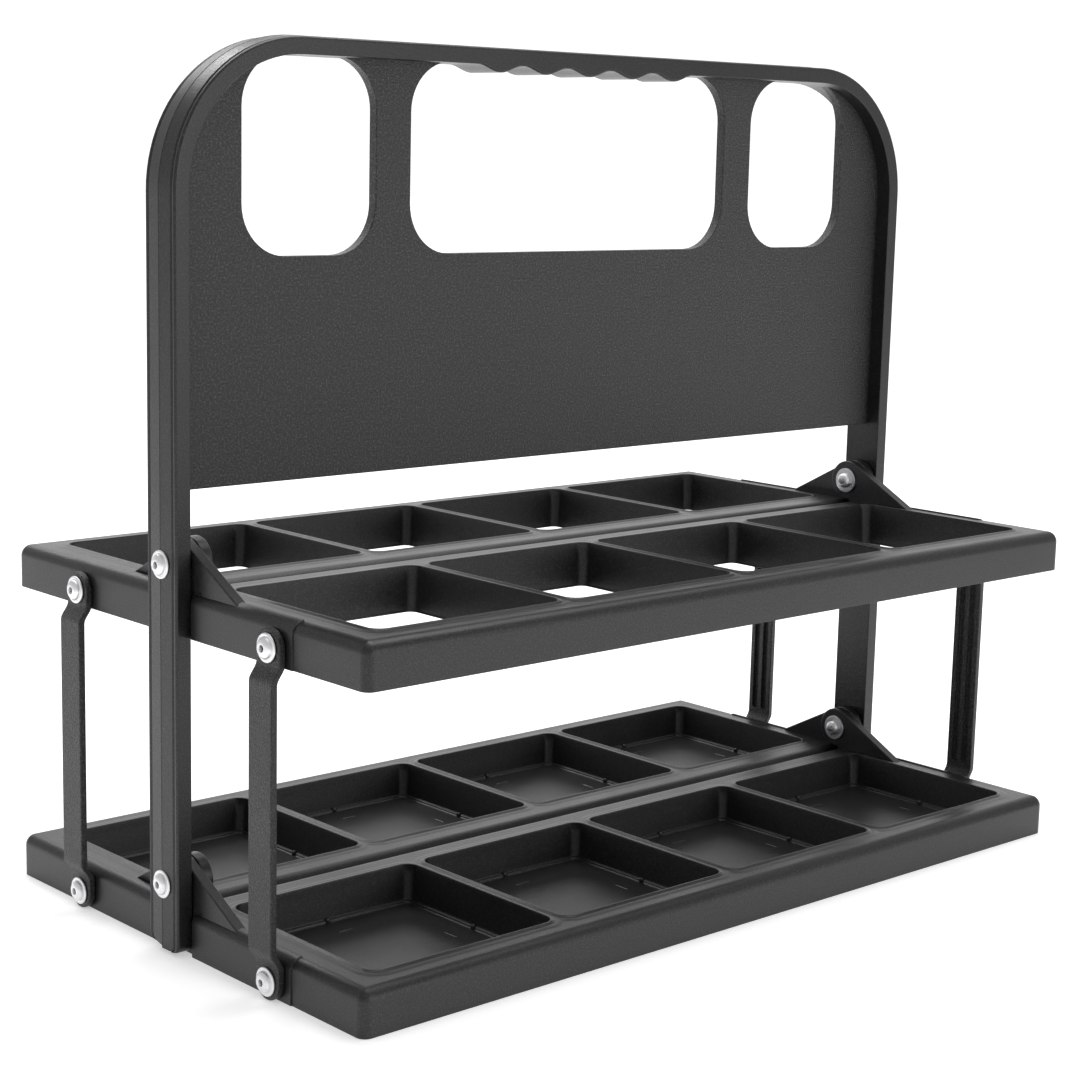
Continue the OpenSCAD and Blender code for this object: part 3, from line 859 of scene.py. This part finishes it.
def make_floor():
    """Flat floor that sweeps up behind the object, turned to face the camera."""
    half_width, front, flat_end, sweep_r, steps = 4500, -3000, 1480, 1800, 16
    shell = Shell()
    rows = []
    for k in range(2 * steps + 1):
        if k < steps:
            y, z = front + (flat_end - front) * k / steps, 0.0
        else:
            a = math.pi / 2 * (k - steps) / steps
            y, z = flat_end + sweep_r * math.sin(a), sweep_r * (1 - math.cos(a))
        rows.append([(-half_width, y, z - 0.05), (half_width, y, z - 0.05)])
    made = [shell.ring(r) for r in rows]
    for a, b in zip(made, made[1:]):
        shell.bridge(a, b, closed=False)
    mesh = bpy.data.meshes.new("floor")
    mesh.from_pydata([(x * MM, y * MM, z * MM) for x, y, z in shell.verts], [], shell.faces)
    mesh.shade_smooth()
    mesh.materials.append(floor_material())
    floor = bpy.data.objects.new("floor", mesh)
    bpy.context.scene.collection.objects.link(floor)
    floor.rotation_euler = (0, 0, YAW)


make_floor()


def area_light(name, place, target, size, power):
    data = bpy.data.lights.new(name, "AREA")
    data.shape = "RECTANGLE"
    data.size, data.size_y = size
    data.energy = power
    lamp = bpy.data.objects.new(name, data)
    lamp.location = place
    lamp.rotation_euler = (Vector(target) - Vector(place)).to_track_quat("-Z", "Y").to_euler()
    bpy.context.scene.collection.objects.link(lamp)
    return lamp


area_light("top_box", (0.4, 0.25, 1.6), (0.05, 0.1, 0.1), (1.4, 1.0), 16)
area_light("front_box", (0.5, -1.7, 0.5), (0, 0, 0.14), (0.8, 0.7), 4.8)
area_light("back_box", (1.45, 1.65, 0.8), (0, 0, 0.1), (2.6, 1.1), 2.5)
area_light("rear_strip", (0.1, 1.5, 1.5), (0, 0, 0.3), (0.7, 0.4), 8)

world = bpy.data.worlds.new("studio")
world.use_nodes = True
world.node_tree.nodes["Background"].inputs["Color"].default_value = (1.0, 1.0, 1.0, 1.0)
world.node_tree.nodes["Background"].inputs["Strength"].default_value = 0.56
bpy.context.scene.world = world
bpy.context.scene.view_settings.view_transform = "Standard"

# ---------------------------------------------------------------- camera
level_ahead = Vector((-math.sin(YAW), math.cos(YAW), 0))
ahead = level_ahead * math.cos(PITCH_DOWN) - Vector((0, 0, math.sin(PITCH_DOWN)))
level_right = Vector((math.cos(YAW), math.sin(YAW), 0))
level_up = level_right.cross(ahead)
right = level_right * math.cos(ROLL) + level_up * math.sin(ROLL)
upward = level_up * math.cos(ROLL) - level_right * math.sin(ROLL)
camera_data = bpy.data.cameras.new("camera")
camera_data.lens = 75.2
camera_data.sensor_width = 36
camera = bpy.data.objects.new("camera", camera_data)
place = Vector((-0.626388, -0.673939, 0.2935))
camera.matrix_world = Matrix((
    (right.x, upward.x, -ahead.x, place.x),
    (right.y, upward.y, -ahead.y, place.y),
    (right.z, upward.z, -ahead.z, place.z),
    (0, 0, 0, 1),
))
bpy.context.scene.collection.objects.link(camera)
bpy.context.scene.camera = camera
